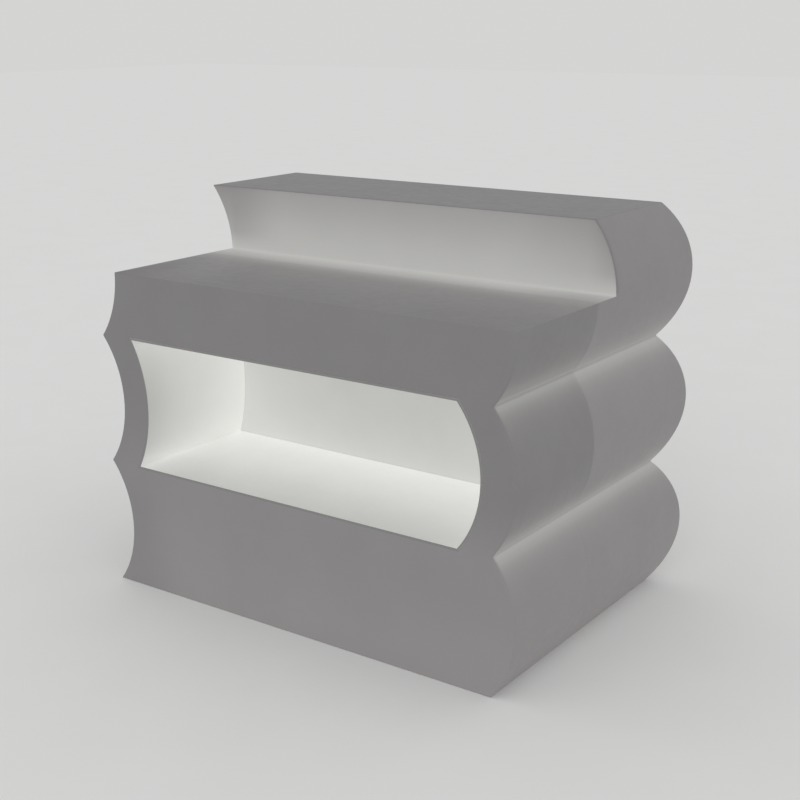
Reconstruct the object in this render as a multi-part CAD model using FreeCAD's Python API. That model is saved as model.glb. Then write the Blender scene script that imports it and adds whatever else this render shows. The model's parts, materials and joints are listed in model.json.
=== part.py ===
import FreeCAD, Part
import math
import os

# Illuminated bar counter: a moulded milky body of equal tiers, one above the other. The left end
# is scooped in and the right end swells out by the same amount, so that counters nest in a row.
# The customer side swells too. The top is stepped, with a worktop on the staff side and a bar top
# behind it, and a lit niche as high as one tier opens on the staff side.
#
# Millimetres. +X runs along the counter to its swelling end, +Y from the staff side to the
# customer side, +Z up. The origin is on the floor, under the middle of the whole body.

Vector = FreeCAD.Vector
X_AXIS = Vector(1, 0, 0)
Y_AXIS = Vector(0, 1, 0)
Z_AXIS = Vector(0, 0, 1)

# Body outline
tier_names = ("lower", "middle", "upper")
bar_height = 1100.0
module_pitch = 1284.0
body_depth = 846.0
end_bulge = 66.0
customer_bulge = 74.0
riser_height = 183.0
riser_depth = 466.0
seam_depth = 370.0

# Body walls and the joint between the two shells
shell_wall = 6.0
seam_flange_width = 25.0
seam_flange_thickness = 6.0
seam_groove_depth = 0.8
seam_groove_width = 1.2
overrun = 30.0
slip_gap = 0.05
seat_gap = 0.3

# Underside: a moulded rim with a shallow recess inside it, and a notch for the cable
rim_end_width = 50.0
rim_side_width = 40.0
cable_notch_width = 30.0
cable_notch_height = 16.0

# Niche and its liner
niche_light_space = 65.0
niche_left_inset = 113.0
niche_left_bulge = 48.0
niche_right_inset = 97.0
niche_right_bulge = 66.0
liner_wall = 5.0
liner_flange_width = 25.0
liner_flange_thickness = 5.0
liner_boss_radius = 8.0
liner_boss_height = 12.0
liner_screw_shares = (0.08, 0.36, 0.64, 0.92)
aperture_gap = 0.4

# Levelling feet
foot_end_inset = 120.0
foot_side_inset = 110.0
foot_boss_radius = 18.0
foot_boss_height = 24.0
foot_insert_radius = 9.0
foot_insert_flange_radius = 14.0
foot_insert_flange = 1.5
foot_stem_radius = 5.0
foot_stem_top = 66.0
foot_pad_lift = 1.0
foot_pad_radius = 23.0
foot_pad_neck_radius = 12.0
foot_pad_edge = 4.0
foot_pad_roof = 1.7
foot_collar_radius = 6.0
foot_collar_lift = 3.0
foot_collar_height = 5.0
foot_neck_radius = 4.0
foot_hex_across = 14.0
foot_hex_height = 6.0
foot_nut_across = 17.0
foot_nut_height = 6.0
foot_nut_lift = 3.2

# Steel frame inside
upright_end_inset = 300.0
upright_riser_gap = 8.0
tube_size = 40.0
tube_wall = 2.5
foot_plate_length = 120.0
foot_plate_width = 96.0
foot_plate_thickness = 6.0
foot_plate_hole_inset = 16.0
end_plate_thickness = 5.0
rail_overhang = 60.0
bearer_width = 30.0
bearer_height = 30.0
bearer_wall = 2.5
seat_plate_thickness = 5.0
seat_plate_reach = 45.0
ledge_width = 50.0
ledge_reach = 44.0
ledge_height = 33.0
pad_thickness = 3.0
bar_top_pad_length = 60.0
bar_top_pad_shares = (0.06, 0.5, 0.94)
bearer_notch_gap = 1.0

# Frame bolts, seam bolts and screws
frame_bolt_radius = 4.0
frame_bolt_length = 22.0
frame_bolt_across = 13.0
frame_bolt_head = 5.3
frame_nut_height = 6.5
bolt_clearance = 0.3
seam_bolt_radius = 3.0
seam_bolt_across = 10.0
seam_bolt_head = 4.0
seam_bolt_tail = 4.0
seam_nut_height = 5.0
seam_bolt_shares = (0.12, 0.5, 0.88)
screw_radius = 2.4
screw_head_radius = 4.5
screw_head_height = 3.0
screw_socket_across = 3.0
screw_socket_depth = 1.6
screw_bite = 10.0

# Light battens
batten_end_gap = 10.0
batten_height = 30.0
batten_depth = 24.0
batten_wall = 1.5
diffuser_bulge = 10.0
diffuser_wall = 1.5
board_edge_gap = 1.5
board_thickness = 1.6
diode_size = 5.0
diode_thickness = 1.0
diode_pitch = 50.0
end_cap_thickness = 3.0
clip_thickness = 2.0
clip_length = 24.0
clip_lip = 10.0
clip_screw_radius = 1.9
clip_screw_head_radius = 3.6
clip_screw_length = 12.0

# Service hatch, gasket and plug well
hatch_open_width = 200.0
hatch_rim_gap = 17.0
hatch_lap = 24.0
hatch_thickness = 3.0
hatch_corner_radius = 14.0
gasket_thickness = 2.0
gasket_margin = 3.0
hatch_boss_height = 10.0
hatch_screw_share = 0.62
well_end_gap = 20.0
well_length = 130.0
well_width = 84.0
well_wall = 3.0

# Driver on the hatch
driver_end_gap = 6.0
driver_length = 160.0
driver_width = 60.0
driver_height = 36.0
driver_wall = 2.0
driver_lid_thickness = 2.0
driver_lug = 14.0
driver_standoff_radius = 3.0
driver_standoff_height = 5.0
driver_board_margin = 4.0
driver_board_thickness = 1.6
driver_transformer = (34.0, 30.0, 20.0)
driver_capacitor_radius = 8.0
driver_capacitor_height = 18.0
driver_heat_sink = (24.0, 40.0, 16.0)

# Appliance inlet in the plug well
inlet_height = 42.0
inlet_width = 27.0
inlet_tall = 20.0
inlet_reach = 14.0
inlet_wall = 2.25
inlet_flange_ear = 11.5
inlet_flange_lip = 2.0
inlet_flange_thickness = 2.5
inlet_pin_width = 4.0
inlet_pin_thickness = 2.0
inlet_pin_length = 13.0
inlet_pin_spacing = 7.0
inlet_pin_drop = 4.0
inlet_tab_length = 8.0
inlet_roof_gap = 9.0
inlet_lead_space = 90.0

# Rocker switch under the niche ceiling
switch_x = 165.0
switch_depth = 60.0
switch_width = 18.0
switch_pocket_gap = 0.3
switch_wall = 2.0
switch_bezel = 3.0
switch_bezel_thickness = 2.0
switch_body_height = 23.0
switch_pivot_lift = 4.0
rocker_half_length = 11.4
rocker_middle_drop = 3.0
rocker_end_drop = 5.0
rocker_back = 3.5
rocker_pin_radius = 1.5
rocker_tilt = 10.0

# Leads and their clips
lead_radius = 3.0
lead_clip_thickness = 1.5
lead_clip_length = 8.0
lead_line_gap = 1.6
lead_bend_share = 0.45
driver_lead_lift = 19.0
lamp_lead_inset = 30.0
niche_lead_inset = 50.0
niche_lead_end_inset = 40.0
switch_lead_offset = 15.0
switch_lead_well_gap = 45.0
lamp_clip_back = 8.0
niche_clip_front = 6.0
switch_clip_back = 4.0
lamp_clip_height_shares = (0.9, 1.17, 1.91, 2.15)
niche_clip_height_shares = (1.01,)
switch_clip_height_shares = (0.68, 1.53)

# The leads' routes. Each point is given by shares of the way from the lead's start to its end, and
# where a lead is clipped to an upright, by shares of the height between its ends.
supply_lead_shares = ((0, 0, 0), (0.22, 0, 0), (0.55, 0, 0.65), (0.84, 0, 1), (1, 1, 1))
lower_lead_shares = (
    (0, 0, 0), (0.29, 0, 0), (0.73, 0.25, 0.01), (0.94, 0.71, 0.17), (1.01, 0.98, 0.54),
    (1, 1, 0.77), (1, 1, 1),
)
lamp_lead_height_shares = (0.08, 0.21, 0.81, 0.92)
niche_lead_height_shares = (0.09, 0.26, 0.78, 0.92)
switch_lead_floor_shares = (
    (0, 0, 1), (0.07, 0, 1), (0.15, 0.53, 0.64), (0.355, 0.94, 0.59), (0.7, 1.06, 0.59),
)
switch_lead_rise_shares = (0.935, 0.3, 2)
switch_lead_post_shares = (0.14, 0.95)
switch_lead_top_shares = ((0.12, 0.12, 1.9), (0.66, 0.38, 1.2), (0.98, 0.78, 1.2), (1, 0.92, 2.9))

# Worked out from the sizes above
tier_count = len(tier_names)
tier_height = bar_height / tier_count
half_tier = tier_height / 2
worktop_height = bar_height - riser_height
foot_pad_height = foot_collar_lift + foot_collar_height + seat_gap + foot_pad_roof
foot_grip_top_z = foot_pad_lift + foot_pad_height + seat_gap + foot_hex_height
recess_height = foot_grip_top_z + foot_nut_lift + foot_nut_height + foot_insert_flange
overall_length = module_pitch + end_bulge
overall_depth = body_depth + customer_bulge
left_peak_x = -overall_length / 2
right_valley_x = left_peak_x + module_pitch
right_end_x = overall_length / 2
staff_y = -overall_depth / 2
customer_valley_y = staff_y + body_depth
riser_y = staff_y + riser_depth
seam_y = staff_y + seam_depth
floor_z = recess_height + shell_wall
worktop_under_z = worktop_height - shell_wall
bar_top_under_z = bar_height - shell_wall
niche_tier = tier_count // 2
niche_floor_z = niche_tier * tier_height
niche_ceiling_z = niche_floor_z + tier_height
niche_left_x = left_peak_x + niche_left_inset
niche_right_x = right_valley_x - niche_right_inset
liner_flange_y = staff_y + shell_wall + liner_boss_height
upright_xs = (left_peak_x + upright_end_inset, right_valley_x - upright_end_inset)
upright_y = riser_y + shell_wall + upright_riser_gap + tube_size / 2
upright_front_y = upright_y - tube_size / 2
upright_back_y = upright_y + tube_size / 2
niche_back_y = upright_front_y - niche_light_space - liner_wall
frame_middle_x = sum(upright_xs) / len(upright_xs)
batten_end_inset = end_bulge + shell_wall + seam_flange_width + batten_end_gap
batten_length = module_pitch - 2 * batten_end_inset
board_height = batten_height - 2 * (batten_wall + board_edge_gap)
rail_z = bar_top_under_z - pad_thickness - tube_size
worktop_bearer_z = worktop_under_z - pad_thickness - bearer_height
shelf_bearer_z = niche_floor_z - liner_wall - pad_thickness - bearer_height
worktop_bearer_y = staff_y + shell_wall
shelf_bearer_y = liner_flange_y + liner_flange_thickness + bearer_notch_gap
hatch_y = customer_valley_y - rim_side_width - hatch_rim_gap - hatch_lap - hatch_open_width / 2
hatch_top_z = recess_height - gasket_thickness
hatch_under_z = hatch_top_z - hatch_thickness
driver_room = driver_end_gap + driver_lug + driver_length
hatch_open_length = driver_room + inlet_lead_space + well_length + well_end_gap
well_x = frame_middle_x + hatch_open_length / 2 - well_end_gap - well_length / 2
well_low_x = well_x - well_length / 2
driver_x = frame_middle_x - hatch_open_length / 2 + driver_room - driver_length / 2
inlet_flange_width = inlet_width + 2 * inlet_flange_ear
inlet_flange_tall = inlet_tall + 2 * inlet_flange_lip
well_height = inlet_height + inlet_flange_tall / 2 + inlet_roof_gap + well_wall
switch_y = staff_y + switch_depth
inlet_z = hatch_under_z + inlet_height
driver_lead_z = hatch_top_z + driver_lead_lift
liner_top_z = niche_ceiling_z + liner_wall
lead_line = lead_radius + lead_line_gap
lamp_line = (upright_xs[0] + tube_size / 2 + lead_line, upright_y + lamp_clip_back)
niche_line = (upright_xs[0] + tube_size / 2 + lead_line, upright_y - niche_clip_front)
switch_line = (upright_xs[1] - tube_size / 2 - lead_line, upright_y + switch_clip_back)


def span(middle, size):
    """Low and high ends of a size set about its middle."""
    return middle - size / 2, middle + size / 2


def block(across, along, up):
    """A box between (low, high) pairs on X, Y and Z."""
    low = Vector(across[0], along[0], up[0])
    return Part.makeBox(across[1] - across[0], along[1] - along[0], up[1] - up[0], low)


def rod(base, direction, radius, length):
    return Part.makeCylinder(radius, length, base, direction)


def prism(points, travel):
    """Extrude a closed outline of points by a vector."""
    outline = Part.makePolygon(points + points[:1])
    return Part.Face(outline).extrude(travel)


def hexagon(base, direction, across, height):
    """A hexagonal prism, its size given across flats."""
    radius = across / math.sqrt(3)
    turns = [math.pi * side / 3 for side in range(6)]
    points = [Vector(radius * math.cos(turn), radius * math.sin(turn), 0) for turn in turns]
    solid = prism(points, Z_AXIS * height)
    solid.Placement = FreeCAD.Placement(base, FreeCAD.Rotation(Z_AXIS, direction))
    return solid


def fuse(solids):
    """One solid out of solids that touch or overlap."""
    return solids[0].multiFuse(solids[1:]).removeSplitter()


def bulge_radius(half_chord, rise):
    return (half_chord**2 + rise**2) / (2 * rise)


def bulged_edges(place, edge, rise, growth, tier_bottom, low, high):
    """One arc over a tier, clipped to low and high. growth is added to the arc's own radius."""
    radius = bulge_radius(half_tier, rise)
    centre = edge + rise - radius
    middle_z = tier_bottom + half_tier

    def point(z):
        return place(centre + math.sqrt((radius + growth) ** 2 - (z - middle_z) ** 2), z)

    return Part.Arc(point(low), point((low + high) / 2), point(high)).toShape()


def tier_edges(place, edge, rise, growth, low, high):
    """The arcs of all tiers, from low to high."""
    edges = []
    for tier in range(tier_count):
        bottom = tier * tier_height
        clipped = (max(bottom, low), min(bottom + tier_height, high))
        edges.append(bulged_edges(place, edge, rise, growth, bottom, clipped[0], clipped[1]))
    return edges


def ends_of(edges):
    """The first and the last point of a row of edges."""
    return edges[0].firstVertex(True).Point, edges[-1].lastVertex(True).Point


def closed_face(rows, corners):
    """A face bounded by rows of edges and by the straight lines that join the given corners."""
    lines = [Part.LineSegment(start, end).toShape() for start, end in corners]
    edges = Part.__sortEdges__([edge for row in rows for edge in row] + lines)
    return Part.Face(Part.Wire(edges))


def end_form(inset):
    """The body's outline seen along Y, drawn in by inset and extruded through the depth."""
    low, high = inset, bar_height - inset

    def place(x, z):
        return Vector(x, staff_y + inset, z)

    left = tier_edges(place, left_peak_x, end_bulge, inset, low, high)
    right = tier_edges(place, right_valley_x, end_bulge, -inset, low, high)
    left_ends, right_ends = ends_of(left), ends_of(right)
    corners = [(left_ends[0], right_ends[0]), (left_ends[1], right_ends[1])]
    return closed_face([left, right], corners).extrude(Y_AXIS * (overall_depth + overrun))


def side_form(inset):
    """The body's outline seen along X, drawn in by inset and extruded through the length."""
    low, high = inset, bar_height - inset
    start_x = left_peak_x - overrun

    def place(y, z):
        return Vector(start_x, y, z)

    customer = tier_edges(place, customer_valley_y, customer_bulge, -inset, low, high)
    bottom, top = ends_of(customer)
    step_z = worktop_height - inset
    outline = [
        bottom,
        place(staff_y + inset, low),
        place(staff_y + inset, step_z),
        place(riser_y + inset, step_z),
        place(riser_y + inset, high),
        top,
    ]
    corners = list(zip(outline[:-1], outline[1:]))
    return closed_face([customer], corners).extrude(X_AXIS * (overall_length + 2 * overrun))


def body_form(inset):
    """The whole body's outer form, drawn in by inset: both outlines hold at once."""
    return end_form(inset).common(side_form(inset))


def underside_space(growth):
    """The recess inside the rim with the cable notch, grown by growth on every side."""
    recess = block(
        (left_peak_x + rim_end_width - growth, right_valley_x - rim_end_width + growth),
        (staff_y + rim_side_width - growth, customer_valley_y - rim_side_width + growth),
        (-overrun, recess_height + growth),
    )
    notch_width = cable_notch_width + 2 * growth
    notch = block(
        (left_peak_x - overrun, left_peak_x + rim_end_width + overrun),
        span(hatch_y, notch_width),
        (-overrun, cable_notch_height + growth),
    )
    return recess.fuse(notch)


def hollow(inset):
    """The space inside walls as thick as inset, above the recess."""
    return body_form(inset).cut(underside_space(inset))


def niche_form(growth, start_y, end_y):
    """The niche's outline, grown by growth and extruded along Y."""
    low, high = niche_floor_z - growth, niche_ceiling_z + growth

    def place(x, z):
        return Vector(x, start_y, z)

    left = [bulged_edges(place, niche_left_x, niche_left_bulge, -growth, niche_floor_z, low, high)]
    right = [bulged_edges(place, niche_right_x, niche_right_bulge, growth, niche_floor_z, low, high)]
    left_ends, right_ends = ends_of(left), ends_of(right)
    corners = [(left_ends[0], right_ends[0]), (left_ends[1], right_ends[1])]
    return closed_face([left, right], corners).extrude(Y_AXIS * (end_y - start_y))


def slab(start_y, end_y):
    """Everything of the body between two planes across its depth."""
    return block(
        (left_peak_x - overrun, right_end_x + overrun), (start_y, end_y), (-overrun, bar_height + overrun)
    )


def seam_bolt_points():
    """Where the bolts cross the seam: round the flange, clear of the bearers."""
    flange_middle = shell_wall + seam_flange_width / 2
    low_tiers = [half_tier + tier_height * tier for tier in range(tier_count - 1)]
    points = []
    for z in low_tiers:
        points.append((left_peak_x + end_bulge + flange_middle, z))
        points.append((right_end_x - flange_middle, z))
    for share in seam_bolt_shares:
        x = left_peak_x + share * module_pitch
        points.append((x, worktop_height - flange_middle))
        points.append((x, recess_height + flange_middle))
    return points


def liner_screw_points():
    """Where the liner is screwed to the bosses: along its flange, above, below and at both ends."""
    middle = liner_wall + liner_flange_width / 2
    points = []
    for share in liner_screw_shares:
        x = niche_left_x + share * (niche_right_x - niche_left_x)
        points.append((x, niche_ceiling_z + middle))
        points.append((x, niche_floor_z - middle))
    middle_z = niche_floor_z + half_tier
    points.append((niche_left_x + niche_left_bulge - middle, middle_z))
    points.append((niche_right_x + niche_right_bulge + middle, middle_z))
    return points


def foot_points():
    """The four feet by name."""
    ends = {"left": left_peak_x + foot_end_inset, "right": right_valley_x - foot_end_inset}
    sides = {"front": staff_y + foot_side_inset, "rear": customer_valley_y - foot_side_inset}
    return {side + "_" + end: (ends[end], sides[side]) for side in sides for end in ends}


def hatch_screw_points():
    """Eight places round the hatch opening, in the middle of its lap."""
    reach_x = hatch_open_length / 2 + hatch_lap / 2
    reach_y = hatch_open_width / 2 + hatch_lap / 2
    points = []
    for side in (-1, 1):
        for along in (-hatch_screw_share, hatch_screw_share):
            points.append((frame_middle_x + along * reach_x, hatch_y + side * reach_y))
            points.append((frame_middle_x + side * reach_x, hatch_y + along * reach_y))
    return points


def foot_plate_points(upright_x):
    """The four bolts of one upright's foot plate."""
    reach_x = foot_plate_length / 2 - foot_plate_hole_inset
    reach_y = foot_plate_width / 2 - foot_plate_hole_inset
    return [
        (upright_x + side * reach_x, upright_y + end * reach_y) for side in (-1, 1) for end in (-1, 1)
    ]


def bearer_notches():
    """Gaps in the seam flange for the two worktop bearers."""
    width = bearer_width + 2 * bearer_notch_gap
    low = worktop_bearer_z - bearer_notch_gap
    reach = seam_flange_thickness + bearer_notch_gap
    return [
        block(span(x, width), (seam_y - reach, seam_y + reach), (low, worktop_under_z)) for x in upright_xs
    ]


def seam_groove():
    """The fine groove that runs round the body where the shells meet."""
    half = seam_groove_width / 2
    return slab(seam_y - half, seam_y + half).cut(body_form(seam_groove_depth))


def moulded_shell(start_y, end_y, flange_start_y):
    """One half of the body between two planes, hollow, with its flange along the seam."""
    walls = body_form(0).cut(underside_space(0)).cut(hollow(shell_wall)).common(slab(start_y, end_y))
    flange_space = slab(flange_start_y, flange_start_y + seam_flange_thickness)
    ring = hollow(shell_wall).cut(hollow(shell_wall + seam_flange_width)).common(flange_space)
    return walls, ring


def foot_boss(x, y):
    return rod(Vector(x, y, floor_z), Z_AXIS, foot_boss_radius, foot_boss_height)


def foot_bore(x, y):
    length = recess_height + shell_wall + foot_boss_height
    return rod(Vector(x, y, 0), Z_AXIS, foot_insert_radius + slip_gap, length)


def seam_bolt_holes():
    radius = seam_bolt_radius + bolt_clearance
    start_y = seam_y - seam_flange_thickness - overrun
    length = 2 * (seam_flange_thickness + overrun)
    return [rod(Vector(x, start_y, z), Y_AXIS, radius, length) for x, z in seam_bolt_points()]


def bearer_ledges():
    """Solid ledges behind the staff face, on which the bearers rest."""
    ledges = []
    for x in upright_xs:
        for top_z in (worktop_bearer_z, shelf_bearer_z):
            along = (staff_y + shell_wall, staff_y + shell_wall + ledge_reach)
            ledges.append(block(span(x, ledge_width), along, (top_z - ledge_height, top_z)))
    return ledges


def front_shell():
    """Staff side of the body, with the worktop and the opening for the niche."""
    start_y = staff_y - overrun
    walls, ring = moulded_shell(start_y, seam_y, seam_y - seam_flange_thickness)
    bosses = [
        rod(Vector(x, staff_y + shell_wall, z), Y_AXIS, liner_boss_radius, liner_boss_height)
        for x, z in liner_screw_points()
    ]
    feet = [point for name, point in foot_points().items() if name.startswith("front")]
    bosses += [foot_boss(x, y) for x, y in feet]
    shell = fuse([walls, ring] + bosses + bearer_ledges())
    cuts = [niche_form(liner_wall + aperture_gap, start_y, staff_y + shell_wall)]
    cuts += [foot_bore(x, y) for x, y in feet]
    for x, z in liner_screw_points():
        hole_y = liner_flange_y - screw_bite
        cuts.append(rod(Vector(x, hole_y, z), Y_AXIS, screw_radius + slip_gap, screw_bite + overrun))
    return shell.cut(cuts + seam_bolt_holes() + bearer_notches() + [seam_groove()])


def rear_shell():
    """Customer side of the body, with the riser and the bar top, and the hatch opening below."""
    end_y = overall_depth / 2 + overrun
    walls, ring = moulded_shell(seam_y, end_y, seam_y)
    feet = [point for name, point in foot_points().items() if name.startswith("rear")]
    bosses = [foot_boss(x, y) for x, y in feet]
    for x, y in hatch_screw_points():
        bosses.append(rod(Vector(x, y, floor_z), Z_AXIS, liner_boss_radius, hatch_boss_height))
    shell = fuse([walls, ring] + bosses)
    opening = block(
        span(frame_middle_x, hatch_open_length), span(hatch_y, hatch_open_width), (0, floor_z + overrun)
    )
    cuts = [opening] + [foot_bore(x, y) for x, y in feet]
    for x, y in hatch_screw_points():
        cuts.append(rod(Vector(x, y, 0), Z_AXIS, screw_radius + slip_gap, recess_height + screw_bite))
    for upright_x in upright_xs:
        for x, y in foot_plate_points(upright_x):
            hole_radius = frame_bolt_radius + bolt_clearance
            cuts.append(rod(Vector(x, y, 0), Z_AXIS, hole_radius, floor_z + overrun))
    return shell.cut(cuts + seam_bolt_holes() + bearer_notches() + [seam_groove()])


def switch_cutout(growth):
    """The opening that the switch housing fills in the niche ceiling."""
    width = switch_width + 2 * switch_wall + 2 * growth
    length = 2 * rocker_pocket_half() + 2 * switch_wall + 2 * growth
    return block(
        span(switch_x, width), span(switch_y, length), (niche_ceiling_z - overrun, niche_ceiling_z + overrun)
    )


def niche_liner():
    """Opal box with curved ends that lines the niche, with a flange behind the staff face."""
    skin = niche_form(liner_wall, staff_y, niche_back_y + liner_wall)
    flange_end_y = liner_flange_y + liner_flange_thickness
    flange = niche_form(liner_wall + liner_flange_width, liner_flange_y, flange_end_y)
    liner = fuse([skin, flange]).cut(niche_form(0, staff_y, niche_back_y))
    holes = [
        rod(Vector(x, liner_flange_y, z), Y_AXIS, screw_radius + bolt_clearance, liner_flange_thickness)
        for x, z in liner_screw_points()
    ]
    return liner.cut(holes + [switch_cutout(slip_gap)])


def foot_pad(x, y):
    """Round pad with a socket that holds the stem's collar."""
    base_z = foot_pad_lift
    disc = rod(Vector(x, y, base_z), Z_AXIS, foot_pad_radius, foot_pad_edge)
    cone_height = foot_pad_height - foot_pad_edge
    cone_base = Vector(x, y, base_z + foot_pad_edge)
    cone = Part.makeCone(foot_pad_radius, foot_pad_neck_radius, cone_height, cone_base, Z_AXIS)
    socket_z = base_z + foot_collar_lift - seat_gap
    socket_height = foot_collar_height + 2 * seat_gap
    socket = rod(Vector(x, y, socket_z), Z_AXIS, foot_collar_radius + seat_gap, socket_height)
    neck_radius = foot_neck_radius + seat_gap
    neck = rod(Vector(x, y, socket_z), Z_AXIS, neck_radius, foot_pad_height)
    return fuse([disc, cone]).cut([socket, neck])


def foot_stem(x, y):
    """Threaded stem with a hexagon to turn it by and a collar that turns in the pad."""
    collar_z = foot_pad_lift + foot_collar_lift
    neck_z = collar_z + foot_collar_height
    hex_z = foot_pad_lift + foot_pad_height + seat_gap
    shank_z = foot_grip_top_z
    collar = rod(Vector(x, y, collar_z), Z_AXIS, foot_collar_radius, foot_collar_height)
    neck = rod(Vector(x, y, neck_z), Z_AXIS, foot_neck_radius, hex_z - neck_z)
    grip = hexagon(Vector(x, y, hex_z), Z_AXIS, foot_hex_across, foot_hex_height)
    shank = rod(Vector(x, y, shank_z), Z_AXIS, foot_stem_radius, foot_stem_top - shank_z)
    return fuse([collar, neck, grip, shank])


def foot_inserts():
    """Threaded bushes moulded into the bosses, one for each foot."""
    inserts = []
    for x, y in foot_points().values():
        flange_z = recess_height - foot_insert_flange
        height = foot_insert_flange + shell_wall + foot_boss_height
        flange = rod(Vector(x, y, flange_z), Z_AXIS, foot_insert_flange_radius, foot_insert_flange)
        sleeve = rod(Vector(x, y, flange_z), Z_AXIS, foot_insert_radius, height)
        bore = rod(Vector(x, y, flange_z), Z_AXIS, foot_stem_radius + slip_gap, height)
        inserts.append(fuse([flange, sleeve]).cut(bore))
    return inserts


def foot_lock_nuts():
    """Nuts that lock the stems against their bushes."""
    nuts = []
    for x, y in foot_points().values():
        base = Vector(x, y, recess_height - foot_insert_flange - foot_nut_height)
        nut = hexagon(base, Z_AXIS, foot_nut_across, foot_nut_height)
        nuts.append(nut.cut(rod(base, Z_AXIS, foot_stem_radius + slip_gap, foot_nut_height)))
    return nuts


def square_tube(across, along, up, wall, hollow_axis):
    """A square tube: its outer box less the inner one, open at both ends along one axis."""
    inner = []
    for axis, pair in enumerate((across, along, up)):
        inset = 0 if axis == hollow_axis else wall
        inner.append((pair[0] + inset, pair[1] - inset))
    return block(across, along, up).cut(block(inner[0], inner[1], inner[2]))


def upright(x):
    """Square tube with a foot plate, an end plate and two welded seats for the bearers."""
    base_z = floor_z + foot_plate_thickness
    plate_span = span(x, foot_plate_length)
    foot = block(plate_span, span(upright_y, foot_plate_width), (floor_z, base_z))
    tube_top = rail_z - end_plate_thickness
    post_space = (span(x, tube_size), span(upright_y, tube_size))
    post = square_tube(post_space[0], post_space[1], (base_z, tube_top), tube_wall, 2)
    cap = block(post_space[0], post_space[1], (tube_top, rail_z))
    parts = [foot, post, cap]
    seat_span = (upright_front_y - seat_plate_reach, upright_front_y)
    for bearer_z in (worktop_bearer_z, shelf_bearer_z):
        parts.append(block(span(x, tube_size), seat_span, (bearer_z - seat_plate_thickness, bearer_z)))
    hole_radius = frame_bolt_radius + bolt_clearance
    holes = [rod(Vector(x, upright_y, tube_top), Z_AXIS, hole_radius, end_plate_thickness)]
    for bolt_x, bolt_y in foot_plate_points(x):
        holes.append(rod(Vector(bolt_x, bolt_y, floor_z), Z_AXIS, hole_radius, foot_plate_thickness))
    for bearer_z in (worktop_bearer_z, shelf_bearer_z):
        hole_base = Vector(x, upright_front_y - seat_plate_reach / 2, bearer_z - seat_plate_thickness)
        holes.append(rod(hole_base, Z_AXIS, hole_radius, seat_plate_thickness))
    for batten in battens():
        holes += clip_screw_holes(batten, x)
    return fuse(parts).cut(holes)


def top_rail():
    """Square tube across both uprights, under the bar top."""
    across = (upright_xs[0] - rail_overhang, upright_xs[1] + rail_overhang)
    up = (rail_z, rail_z + tube_size)
    rail = square_tube(across, span(upright_y, tube_size), up, tube_wall, 0)
    hole_radius = frame_bolt_radius + bolt_clearance
    holes = [rod(Vector(x, upright_y, rail_z), Z_AXIS, hole_radius, tube_wall) for x in upright_xs]
    return rail.cut(holes)


def bearer(x, start_y, base_z):
    """Square tube from the ledge behind the staff face to the upright's seat."""
    up = (base_z, base_z + bearer_height)
    tube = square_tube(span(x, bearer_width), (start_y, upright_front_y), up, bearer_wall, 1)
    hole_base = Vector(x, upright_front_y - seat_plate_reach / 2, base_z)
    return tube.cut(rod(hole_base, Z_AXIS, frame_bolt_radius + bolt_clearance, bearer_wall))


def bar_top_pads():
    """Rubber pads between the top rail and the bar top."""
    low, high = upright_xs[0] - rail_overhang, upright_xs[1] + rail_overhang
    up = (rail_z + tube_size, bar_top_under_z)
    pads = []
    for share in bar_top_pad_shares:
        middle = low + share * (high - low)
        pads.append(block(span(middle, bar_top_pad_length), span(upright_y, tube_size), up))
    return pads


def bearer_pads():
    """Rubber strips on the bearers, under the worktop and under the niche floor."""
    worktop_space = (worktop_bearer_y, upright_front_y), (worktop_under_z - pad_thickness, worktop_under_z)
    shelf_top_z = niche_floor_z - liner_wall
    shelf_along = (shelf_bearer_y, niche_back_y + liner_wall)
    shelf_space = shelf_along, (shelf_top_z - pad_thickness, shelf_top_z)
    spaces = (worktop_space, shelf_space)
    return [block(span(x, bearer_width), along, up) for x in upright_xs for along, up in spaces]


def hex_bolt(base, direction, radius, length, across, head):
    """Bolt whose head's underside sits at base, with its shank along direction."""
    shank = rod(base, direction, radius, length)
    return fuse([hexagon(base - direction * head, direction, across, head), shank])


def hex_nut(base, direction, radius, across, height):
    body = hexagon(base, direction, across, height)
    return body.cut(rod(base, direction, radius + slip_gap, height))


def frame_joints():
    """Each frame bolt's base, direction and grip: feet, bearers and top rail."""
    joints = []
    for upright_x in upright_xs:
        for x, y in foot_plate_points(upright_x):
            joints.append((Vector(x, y, recess_height), Z_AXIS, shell_wall + foot_plate_thickness))
        bolt_y = upright_front_y - seat_plate_reach / 2
        for bearer_z in (worktop_bearer_z, shelf_bearer_z):
            base = Vector(upright_x, bolt_y, bearer_z - seat_plate_thickness)
            joints.append((base, Z_AXIS, seat_plate_thickness + bearer_wall))
        rail_base = Vector(upright_x, upright_y, rail_z + tube_wall)
        joints.append((rail_base, -Z_AXIS, tube_wall + end_plate_thickness))
    return joints


def frame_bolts():
    return [
        hex_bolt(base, way, frame_bolt_radius, frame_bolt_length, frame_bolt_across, frame_bolt_head)
        for base, way, grip in frame_joints()
    ]


def frame_nuts():
    return [
        hex_nut(base + way * grip, way, frame_bolt_radius, frame_bolt_across, frame_nut_height)
        for base, way, grip in frame_joints()
    ]


def seam_bolts():
    """Bolts through both seam flanges, heads on the customer side."""
    length = 2 * seam_flange_thickness + seam_nut_height + seam_bolt_tail
    start_y = seam_y + seam_flange_thickness
    return [
        hex_bolt(Vector(x, start_y, z), -Y_AXIS, seam_bolt_radius, length, seam_bolt_across, seam_bolt_head)
        for x, z in seam_bolt_points()
    ]


def seam_nuts():
    start_y = seam_y - seam_flange_thickness
    return [
        hex_nut(Vector(x, start_y, z), -Y_AXIS, seam_bolt_radius, seam_bolt_across, seam_nut_height)
        for x, z in seam_bolt_points()
    ]


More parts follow.
